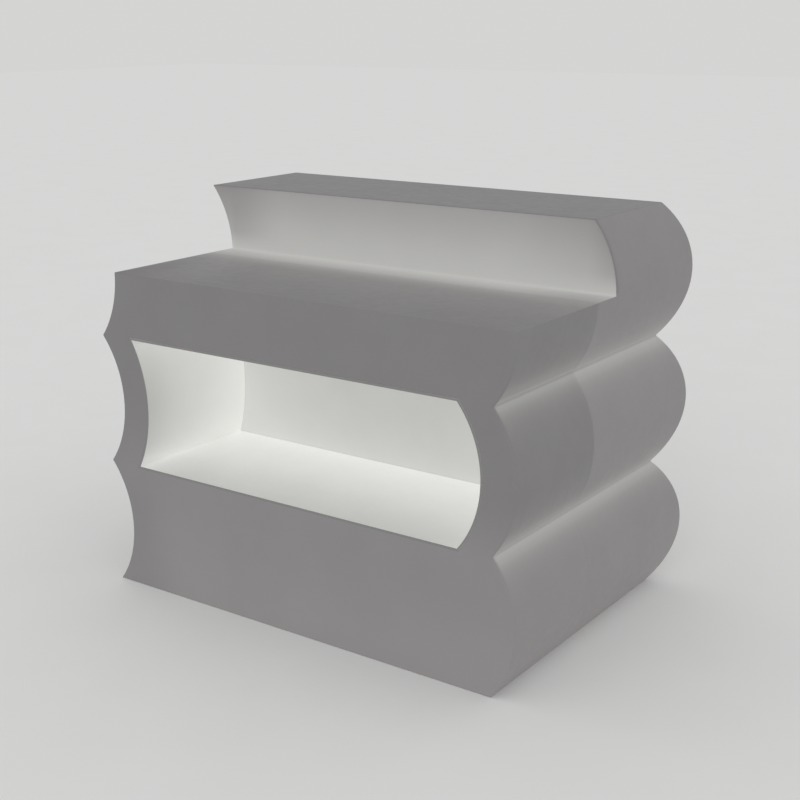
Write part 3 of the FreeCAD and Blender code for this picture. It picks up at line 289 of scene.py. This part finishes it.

# Painted shade makes the riser duller towards both its ends, except at its foot
riser_ends_span_z = (worktop_z, worktop_z + 0.06)
riser_left_span_x = (body_low.x + 0.29, body_low.x + 0.05)
riser_left_dimming = 0.105
riser_left_span_z = (body_high.z - 0.10, body_high.z - 0.01)
riser_left_top_share = 0.75
riser_right_dimmings = (
    ((body_high.x - 0.36, body_high.x), 0.050),
    ((body_high.x - 0.09, body_high.x), 0.060),
)

# Painted light where one tier meets the next, on the swelling end and on the customer side, and the painted
# shade
# line between the two: height over the valley, reach, light
valley_lines = (
    (0.0, 0.033, 0.128),
    (-0.010, 0.012, 0.035),
    (-0.004, 0.004, 0.045),
    (0.0025, 0.0022, -0.060),
    (-0.001, 0.003, -0.052),
    (-0.020, 0.015, 0.028),
)
valley_end_span_x = (right_valley_x - 0.012, right_valley_x - 0.002)
valley_customer_span_y = (customer_valley_y - 0.012, customer_valley_y - 0.002)
valley_start_span_y = (body_low.y + 0.0005, body_low.y + 0.014)
# This one fades from the front shell to the rear one
above_valley_line = (0.034, 0.022, 0.028)
above_valley_span_y = (seam_y - 0.05, seam_y + 0.05)
above_valley_rear_share = 0.3
# On the front shell painted light gives the upper valley a bright rim above its line, and painted shade less
# light below it
upper_front_lines = ((0.0085, 0.004, 0.032), (-0.020, 0.015, -0.020))
upper_front_span_y = (seam_y - 0.02, seam_y + 0.01)

# Painted shade lines beside the riser, and within its outline at the top and the right
beside_riser_y = riser_y + 0.0045
beside_riser_reach = 0.0050
beside_riser_light = -0.055
beside_riser_span_z = (worktop_z, worktop_z + 0.01)
outline_reach = 0.0030
outline_light = -0.040
outline_span_z = (worktop_z + 0.004, worktop_z + 0.03)


def painted_zone_level(tree, x, y, z, thickness):
    """Painted light and shade of the plain faces: zones, foot, scoops and the groove."""
    rear = fade(tree, y, *rear_span_y)
    lower = fade(tree, z, *lower_span_z)
    bar_top = fade(tree, z, *bar_top_span_z, 0.0, bar_top_dimming)
    upper = fade(tree, z, *upper_span_z, 0.0, upper_dimming)
    dimming = maths(tree, "SUBTRACT", 1.0, maths(tree, "MAXIMUM", bar_top, upper))
    scoops = added(tree, *[
        maths(tree, "MAXIMUM", product(tree, bulged(tree, z, middle_z, end_bulge), 1 / end_bulge), 0.0)
        for middle_z in [(tier + 0.5) * tier_height for tier in range(tier_count)]
    ])
    on_left_end = product(tree, fade(tree, x, *left_end_span_x), fade(tree, y, *behind_face_span_y))
    on_lower_face = product(tree, lower, fade(tree, y, *face_span_y))
    return added(
        tree,
        fade(tree, thickness, *wide_noise_span, body_glow - body_glow_spread, body_glow + body_glow_spread),
        product(tree, maths(tree, "MAXIMUM", rear, lower), dimming, zone_glow),
        fade(tree, z, *foot_span_z, 0.0, foot_glow),
        product(tree, scoops, scoop_glow, on_left_end),
        product(tree, fade(tree, x, *low_left_span_x, 0.0, low_left_light), on_lower_face,
                fade(tree, z, *low_left_span_z, 1.0, low_left_top_share)),
        product(tree, near(tree, y, seam_y, groove_reach), groove_glow),
    )


def painted_step_level(tree, x, y, z, on_step):
    """Painted light on the worktop near the riser and up the riser, with painted shade towards the riser's
    ends.
    """
    off_riser = fade(tree, y, *off_riser_span_y)
    strip = added(
        tree,
        fade(tree, y, *strip_span_y, 0.0, strip_glow),
        product(tree, fade(tree, x, *strip_left_span_x, 0.0, strip_left_light), off_riser),
        product(tree, fade(tree, x, *strip_right_span_x, 0.0, strip_right_light),
                fade(tree, y, *strip_right_span_y), off_riser),
        product(tree, near(tree, y, riser_y, strip_foot_reach), strip_foot_glow),
        fade(tree, y, *worktop_front_span_y, worktop_front_light, 0.0),
        fade(tree, y, *worktop_span_y, worktop_light, 0.0),
    )
    left_end = product(tree, fade(tree, x, *riser_left_span_x, 0.0, riser_left_dimming),
                       fade(tree, z, *riser_left_span_z, 1.0, riser_left_top_share))
    right_ends = [fade(tree, x, *span_x, 0.0, dimming) for span_x, dimming in riser_right_dimmings]
    ends = product(tree, added(tree, left_end, *right_ends), fade(tree, z, *riser_ends_span_z))
    up_riser = fade(tree, z, *up_riser_span_z, 0.0, up_riser_dimming)
    return product(tree, on_step, maths(tree, "SUBTRACT", maths(tree, "SUBTRACT", strip, up_riser), ends))


def painted_valley_level(tree, x, y, z):
    """Painted light and painted shade lines along the valleys between the tiers."""
    def line(valley, over, reach, light):
        return product(tree, near(tree, z, valley + over, reach), light)

    lines = [line(valley, *row) for row in valley_lines for valley in valleys]
    above = added(tree, *[line(valley, *above_valley_line) for valley in valleys])
    lines.append(product(tree, above, fade(tree, y, *above_valley_span_y, 1.0, above_valley_rear_share)))
    upper_front = added(tree, *[line(upper_valley, *row) for row in upper_front_lines])
    lines.append(product(tree, upper_front, fade(tree, y, *upper_front_span_y, 1.0, 0.0)))
    outside = maths(tree, "MAXIMUM", fade(tree, x, *valley_end_span_x), fade(tree, y, *valley_customer_span_y))
    return product(tree, added(tree, *lines), outside, fade(tree, y, *valley_start_span_y))


def painted_shade_lines(tree, x, y, z, on_step):
    """Painted shade lines round the riser."""
    beside = product(tree, near(tree, y, beside_riser_y, beside_riser_reach),
                     fade(tree, z, *beside_riser_span_z), beside_riser_light)
    right_end_x = added(tree, bulged(tree, z, (tier_count - 0.5) * tier_height, end_bulge), right_valley_x)
    to_outline = maths(tree, "MINIMUM", maths(tree, "SUBTRACT", right_end_x, x),
                       maths(tree, "SUBTRACT", body_high.z, z))
    within = product(tree, near(tree, to_outline, 0.0, outline_reach), on_step,
                     fade(tree, z, *outline_span_z), outline_light)
    return added(tree, beside, within)


def body_plastic():
    material, tree, shader, place, (x, y, z) = started("milky_polyethylene")
    thickness = blotches(tree, place, wall_cloud_size, cloud_detail)
    speckle = blotches(tree, place, speckle_size, speckle_detail)
    tone = added(tree, product(tree, thickness, 1 - speckle_share), product(tree, speckle, speckle_share))
    colour = tint(tree, fade(tree, tone, *noise_span), body_dark, body_light)
    tree.links.new(colour, shader.inputs["Base Color"])

    # Painted light and painted shade on the shells, as emission, for the battens inside
    on_step = product(tree, fade(tree, z, *step_span_z), fade(tree, y, *step_span_y))
    glow = added(tree, painted_step_level(tree, x, y, z, on_step), painted_valley_level(tree, x, y, z),
                 painted_shade_lines(tree, x, y, z, on_step))
    total = tree.nodes.new("ShaderNodeVectorMath")
    total.operation = "ADD"
    body_light_socket = scaled(tree, body_glow_colour, painted_zone_level(tree, x, y, z, thickness))
    tree.links.new(body_light_socket, total.inputs[0])
    tree.links.new(scaled(tree, step_glow_colour, glow), total.inputs[1])
    tree.links.new(total.outputs["Vector"], shader.inputs["Emission Color"])
    shader.inputs["Emission Strength"].default_value = 1.0
    shader.inputs["Specular IOR Level"].default_value = body_specular
    grained(tree, shader, place, **body_grain)
    return material


# Opal plastic of the niche, with its light painted on as emission
liner_dark = (0.455, 0.458, 0.445)
liner_light = (0.465, 0.468, 0.455)
liner_glow_colour = (0.998, 1.0, 0.965)
liner_cloud_size = 0.12
liner_cloud_light = 0.003
liner_specular = 0.4
liner_grain = {"size": 0.0018, "depth": 0.00003, "roughness": 0.42, "spread": 0.03}
front_edge_span_y = (body_low.y + 0.0012, body_low.y + 0.0004)

# Painted light makes the niche brighter the further in, and most of all past half way, away from its middle
# height
front_light = 0.150
inwards_light = 0.285
half_way_span_z = (0.06, 0.17)
half_way_lights = (0.03, 0.22)

# Painted light makes its corners brighter still. Reach and share of corner_light
corner_light = 0.075
back_to_flat = (0.045, 0.65)
back_to_left = (0.06, 0.4)
back_to_right = (0.06, 0.6)
left_reach = 0.06
right_to_flat = (0.05, 1.0)
left_share_depths = (0.0, 0.95)
left_shares = (2.6, -0.7)
most_depths = (0.2, 1.0)
most_lights = (1.8, 0.35)
most_on_back = 0.5

# Painted shade makes the back duller than the corner in front of it, least at its two ends, and the left wall
# too
on_back_span = (0.0035, 0.0005)
back_left_span_x = (-0.10, -0.50)
back_lights = (-0.264, -0.208)
back_right_span_x = (0.15, 0.40)
back_right_light = 0.035
left_front_span_y = (body_low.y, body_low.y + 0.12)
left_front_lights = (-0.040, -0.006)
left_back_span_y = (niche_back_y - 0.08, niche_back_y)
left_back_light = -0.015
left_foot_span = (0.01, 0.08)
left_wall_reach = 0.02


def painted_corner_level(tree, to_back, to_left, to_right, to_floor, to_ceiling, depth_share):
    """Painted light in the corners: one for each pair of faces at their corner, times its share."""
    left_share = fade(tree, depth_share, *left_share_depths, *left_shares)
    pairs = (
        (to_back, to_floor, *back_to_flat), (to_back, to_ceiling, *back_to_flat),
        (to_back, to_left, *back_to_left), (to_back, to_right, *back_to_right),
        (to_left, to_floor, left_reach, left_share), (to_left, to_ceiling, left_reach, left_share),
        (to_right, to_floor, *right_to_flat), (to_right, to_ceiling, *right_to_flat),
    )
    return added(tree, *[
        product(tree, near(tree, added(tree, one, other), 0.0, reach), share)
        for one, other, reach, share in pairs
    ])


def liner_opal():
    material, tree, shader, place, (x, y, z) = started("opal_liner")
    cloud = fade(tree, blotches(tree, place, liner_cloud_size, cloud_detail), *wide_noise_span)
    front_edge = fade(tree, y, *front_edge_span_y)
    pale = tint(tree, cloud, liner_dark, liner_light)
    tree.links.new(tint(tree, front_edge, pale, body_light), shader.inputs["Base Color"])

    # Painted light and painted shade inside the niche, as emission
    niche_depth = niche_back_y - body_low.y
    depth_share = product(tree, maths(tree, "SUBTRACT", y, body_low.y), 1 / niche_depth)
    flatter_share = product(tree, depth_share, niche_left_flatter / niche_left_bulge)
    left_bulge = product(tree, bulged(tree, z, niche_middle_z, niche_left_bulge),
                         maths(tree, "SUBTRACT", 1.0, flatter_share))
    left_wall = added(tree, left_bulge, product(tree, depth_share, niche_left_inset), niche_left_x)
    right_wall = added(tree, bulged(tree, z, niche_middle_z, niche_right_bulge), niche_right_x)
    to_back = distance(tree, y, niche_back_y)
    to_left = distance(tree, x, left_wall)
    to_right = distance(tree, x, right_wall)
    to_floor = distance(tree, z, tier_height)
    to_ceiling = distance(tree, z, upper_valley)
    corners = painted_corner_level(tree, to_back, to_left, to_right, to_floor, to_ceiling, depth_share)
    on_back = fade(tree, to_back, *on_back_span)
    most = added(tree, fade(tree, depth_share, *most_depths, *most_lights),
                 product(tree, on_back, most_on_back))
    half_way = product(tree, depth_share, depth_share, maths(tree, "SUBTRACT", 1.0, depth_share),
                       fade(tree, distance(tree, z, niche_middle_z), *half_way_span_z, *half_way_lights))
    back_level = added(tree, fade(tree, x, *back_left_span_x, *back_lights),
                       fade(tree, x, *back_right_span_x, 0.0, back_right_light))
    left_level = added(tree, fade(tree, y, *left_front_span_y, *left_front_lights),
                       fade(tree, y, *left_back_span_y, 0.0, left_back_light))
    level = added(
        tree,
        product(tree, maths(tree, "MINIMUM", corners, most), corner_light),
        product(tree, on_back, back_level),
        product(tree, depth_share, inwards_light), front_light,
        half_way,
        product(tree, left_level, maths(tree, "SUBTRACT", 1.0, on_back), fade(tree, to_floor, *left_foot_span),
                near(tree, to_left, 0.0, left_wall_reach)),
        fade(tree, cloud, 0.0, 1.0, -liner_cloud_light, liner_cloud_light),
    )
    level = added(tree, product(tree, level, maths(tree, "SUBTRACT", 1.0, front_edge)),
                  product(tree, front_edge, body_glow))
    tree.links.new(scaled(tree, liner_glow_colour, level), shader.inputs["Emission Color"])
    shader.inputs["Emission Strength"].default_value = 1.0
    shader.inputs["Specular IOR Level"].default_value = liner_specular
    grained(tree, shader, place, **liner_grain)
    return material


# Diffusers of the battens
diffuser_dark = (0.80, 0.80, 0.78)
diffuser_light = (0.86, 0.86, 0.84)
diffuser_glow_colour = (1.0, 1.0, 0.97)
diffuser_glows = (0.28, 0.32)
diffuser_cloud_size = 0.05
diffuser_grain = {"size": 0.001, "depth": 0.00001, "roughness": 0.35, "spread": 0.04}


def diffuser_opal():
    material, tree, shader, place, _ = started("opal_diffuser")
    cloud = fade(tree, blotches(tree, place, diffuser_cloud_size, cloud_detail), *noise_span)
    tree.links.new(tint(tree, cloud, diffuser_dark, diffuser_light), shader.inputs["Base Color"])
    glow = fade(tree, cloud, 0.0, 1.0, *diffuser_glows)
    tree.links.new(scaled(tree, diffuser_glow_colour, glow), shader.inputs["Emission Color"])
    shader.inputs["Emission Strength"].default_value = 1.0
    grained(tree, shader, place, **diffuser_grain)
    return material


# Pieces
weld_distance = 2e-6
flat_angle = math.radians(0.05)
seam_margin = 0.001
seam_half_width = 0.003
on_face = 0.0008


def softened(node, name, width, segments, material, body, share=None):
    """A copy of a CAD node with rounded edges, which stands for it. share is what an edge gets of width."""
    mesh = frame["nodes"][node].data.copy()
    mesh.name = name
    work = bmesh.new()
    work.from_mesh(mesh)
    bmesh.ops.remove_doubles(work, verts=work.verts, dist=weld_distance)
    free = [edge for edge in work.edges if any(abs(vert.co.y - seam_y) > seam_margin for vert in edge.verts)]
    bmesh.ops.dissolve_limit(work, angle_limit=flat_angle, verts=[], edges=free)
    layers = work.edges.layers.float
    weight = layers.get("bevel_weight_edge") or layers.new("bevel_weight_edge")
    for edge in work.edges:
        sharp = edge.is_manifold and edge.calc_face_angle() > sharp_angle
        edge.smooth = not sharp
        if sharp:
            middle = (edge.verts[0].co + edge.verts[1].co) / 2
            edge[weight] = share(middle) if share else 1.0
    for face in work.faces:
        face.smooth = True
        face.material_index = 0
    work.to_mesh(mesh)
    work.free()
    mesh.materials.clear()
    mesh.materials.append(material)
    piece = bpy.data.objects.new(name, mesh)
    bpy.context.scene.collection.objects.link(piece)
    rounding = piece.modifiers.new("rounded edges", "BEVEL")
    rounding.limit_method = "WEIGHT"
    rounding.width = width
    rounding.segments = segments
    rounding.use_clamp_overlap = True
    shading = piece.modifiers.new("shading", "WEIGHTED_NORMAL")
    shading.keep_sharp = True
    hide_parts(node)
    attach(piece, body)
    return piece


def end_line(z, base, rise):
    """Where a curved end of the body stands at height z."""
    half = tier_height / 2
    radius = (half ** 2 + rise ** 2) / (2 * rise)
    tier = min(int(z / tier_height), tier_count - 1)
    off = z - (tier + 0.5) * tier_height
    return base + rise - radius + math.sqrt(max(radius ** 2 - off ** 2, 0))


def outer_form_share(point):
    """One for an edge on the outside of the closed body, zero for one inside it or along the seam."""
    if abs(point.y - seam_y) < seam_half_width:
        return 0.0
    top = worktop_z if point.y < riser_y - on_face else body_high.z
    gaps = (
        point.x - end_line(point.z, body_low.x, end_bulge),
        point.x - end_line(point.z, right_valley_x, end_bulge),
        point.y - end_line(point.z, customer_valley_y, customer_bulge),
        point.y - body_low.y,
        point.z - top,
    )
    on_riser = abs(point.y - riser_y) < on_face and point.z > worktop_z - on_face
    return 1.0 if on_riser or any(abs(gap) < on_face for gap in gaps) else 0.0


def liner_share(point):
    """Rounded corners in the niche, and all but crisp ones along its front edge."""
    front_strip, front_share = 0.05, 0.2
    return 1.0 if point.y > body_low.y + front_strip else front_share


def flattened_at_back(liner):
    """Eases both skins of the niche's left wall from the full bulge at the opening to a flatter one."""
    height_margin, flange_depth, wall_reach = 0.01, 0.03, 0.1
    for vert in liner.data.vertices:
        place = vert.co
        in_height = tier_height - height_margin < place.z < upper_valley + height_margin
        behind_flange = place.y > body_low.y + flange_depth
        if in_height and behind_flange and place.x <= niche_left_x + wall_reach:
            depth_share = (place.y - body_low.y) / (niche_back_y - body_low.y)
            bulge_share = end_line(place.z, 0.0, niche_left_bulge) / niche_left_bulge
            place.x += depth_share * (niche_left_inset - niche_left_flatter * bulge_share)


milky = body_plastic()
for shell in ("front_shell", "rear_shell"):
    softened(shell, shell + "_moulding", shell_edge, shell_edge_steps, milky, "counter_body",
             outer_form_share)
liner = softened("niche_liner", "niche_liner_moulding", liner_edge, shell_edge_steps,
                 liner_opal(), "counter_body", liner_share)
flattened_at_back(liner)

# Finishes of the other pieces: name, dark and light tone, roughness, metallic
white_part = plain("white_moulded", (0.70, 0.70, 0.69), (0.76, 0.76, 0.75), 0.45, size=0.02)
black_part = plain("black_moulded", (0.016, 0.016, 0.018), (0.026, 0.026, 0.028), 0.55,
                   size=0.008, depth=0.00004)
brushed_along = (0.05, 1.0, 1.0)
finishes = {
    "foot_plastic": plain("foot_black", (0.018, 0.018, 0.02), (0.026, 0.026, 0.028), 0.6,
                          size=0.004, depth=0.00006),
    "zinc_steel": plain("zinc_plated", (0.42, 0.43, 0.45), (0.56, 0.57, 0.58), 0.34, 1.0,
                        size=0.006, spread=0.08),
    "insert_brass": plain("turned_brass", (0.50, 0.36, 0.13), (0.62, 0.46, 0.19), 0.32, 1.0,
                          size=0.006, stretch=(1.0, 1.0, 8.0)),
    "frame_paint": plain("powder_coat_white", (0.68, 0.68, 0.67), (0.70, 0.70, 0.69), 0.5,
                         size=0.015, grain=0.0012, depth=0.00005),
    "pad_rubber": plain("black_rubber", (0.018, 0.018, 0.02), (0.03, 0.03, 0.032), 0.75,
                        size=0.01, depth=0.00005),
    "batten_aluminium": plain("anodised", (0.56, 0.57, 0.58), (0.66, 0.67, 0.68), 0.38, 1.0,
                              size=0.004, stretch=brushed_along),
    "led_board": plain("white_board", (0.74, 0.74, 0.70), (0.80, 0.80, 0.77), 0.4, size=0.02),
    "diffuser_opal": diffuser_opal(),
    "cap_plastic": white_part,
    "clip_steel": plain("spring_steel", (0.42, 0.43, 0.44), (0.52, 0.53, 0.54), 0.3, 1.0,
                        size=0.003, stretch=(1.0, 0.1, 1.0)),
    "hatch_paint": plain("powder_coat_grey", (0.46, 0.46, 0.45), (0.475, 0.475, 0.465), 0.5,
                         size=0.012, grain=0.0012, depth=0.00005),
    "driver_aluminium": plain("satin_aluminium", (0.46, 0.47, 0.48), (0.54, 0.55, 0.56), 0.36, 1.0,
                              size=0.004, stretch=(0.06, 1.0, 1.0)),
    "driver_board": plain("green_board", (0.012, 0.055, 0.02), (0.02, 0.075, 0.028), 0.4, size=0.01),
    "inlet_plastic": black_part,
    "pin_metal": plain("plated_brass", (0.60, 0.54, 0.38), (0.68, 0.62, 0.46), 0.25, 1.0, size=0.004),
    "rocker_plastic": plain("rocker_black", (0.012, 0.012, 0.014), (0.02, 0.02, 0.022), 0.3,
                            size=0.01, depth=0.00001),
    "lead_sheath": plain("white_sheath", (0.64, 0.64, 0.62), (0.70, 0.70, 0.68), 0.5, size=0.015),
}
slots = {part["node"]: part["material_slot"] for part in frame["record"]["subparts"]}
bodies = {node: body for body, nodes in frame["record"]["behaviour"]["bodies"].items() for node in nodes}
rounded_nodes = [node for node in slots if node.endswith("foot_pad")]
rounded_nodes += ["service_hatch", "inlet_body", "switch_housing", "switch_rocker"]
for node, slot in slots.items():
    if slot in ("body_plastic", "liner_opal"):
        continue
    if node in rounded_nodes:
        softened(node, node + "_rounded", small_edge, small_edge_steps, finishes[slot], bodies[node])
        continue
    piece = frame["nodes"][node]
    piece.data.materials.clear()
    piece.data.materials.append(finishes[slot])

# Studio floor
floor_reach = 30.0
floor_mesh = bpy.data.meshes.new("studio_floor")
signs = ((-1, -1), (1, -1), (1, 1), (-1, 1))
floor_corners = [(sign_x * floor_reach, sign_y * floor_reach, 0) for sign_x, sign_y in signs]
floor_mesh.from_pydata(floor_corners, [], [(0, 1, 2, 3)])
floor = bpy.data.objects.new("studio_floor", floor_mesh)
bpy.context.scene.collection.objects.link(floor)
pale_floor = plain("pale_floor", (0.765, 0.765, 0.76), (0.775, 0.775, 0.77), 0.7,
                   size=0.3, grain=0.003, depth=0.0)
pale_floor.node_tree.nodes["Principled BSDF"].inputs["Specular IOR Level"].default_value = 0.0
floor_mesh.materials.append(pale_floor)

# Views, reflections and what shows through see the backdrop. The light on the pieces is a little brighter
backdrop_colour = (0.66, 0.66, 0.655)
surround_light = (0.82, 0.82, 0.82)
world = bpy.data.worlds.new("studio")
world.use_nodes = True
sky = world.node_tree
background = sky.nodes["Background"]
rays = sky.nodes.new("ShaderNodeLightPath")
ray_kinds = ("Is Camera Ray", "Is Glossy Ray", "Is Transmission Ray")
seen = joined(sky, "MAXIMUM", [rays.outputs[kind] for kind in ray_kinds])
sky.links.new(tint(sky, seen, surround_light, backdrop_colour), background.inputs["Color"])
bpy.context.scene.world = world

# A weak, wide light from the staff side. It is far off, so that no view sees a bright patch on the floor
key = bpy.data.lights.new("key", "SUN")
key.energy = 0.46
key.angle = math.radians(40)
key_lamp = bpy.data.objects.new("key", key)
key_from = Vector((1.8, -3.9, 1.6))
key_lamp.rotation_euler = key_from.to_track_quat("Z", "Y").to_euler()
bpy.context.scene.collection.objects.link(key_lamp)

# Camera, fitted to the photograph
camera_place = (2.1432, -2.8946, 1.5902)
camera_azimuth = 0.6034
camera_elevation = 0.2949
camera_roll = -0.0046
camera = bpy.data.cameras.new("camera")
camera.lens = 59.68
camera.sensor_width = 36.0
camera.shift_x = -0.05
camera.shift_y = 0.01875
view = bpy.data.objects.new("camera", camera)
aim = Euler((math.pi / 2 - camera_elevation, 0, camera_azimuth)).to_matrix().to_4x4()
view.matrix_world = Matrix.Translation(camera_place) @ aim @ Matrix.Rotation(camera_roll, 4, "Z")
bpy.context.scene.collection.objects.link(view)
bpy.context.scene.camera = view
bpy.context.scene.view_settings.view_transform = "Standard"
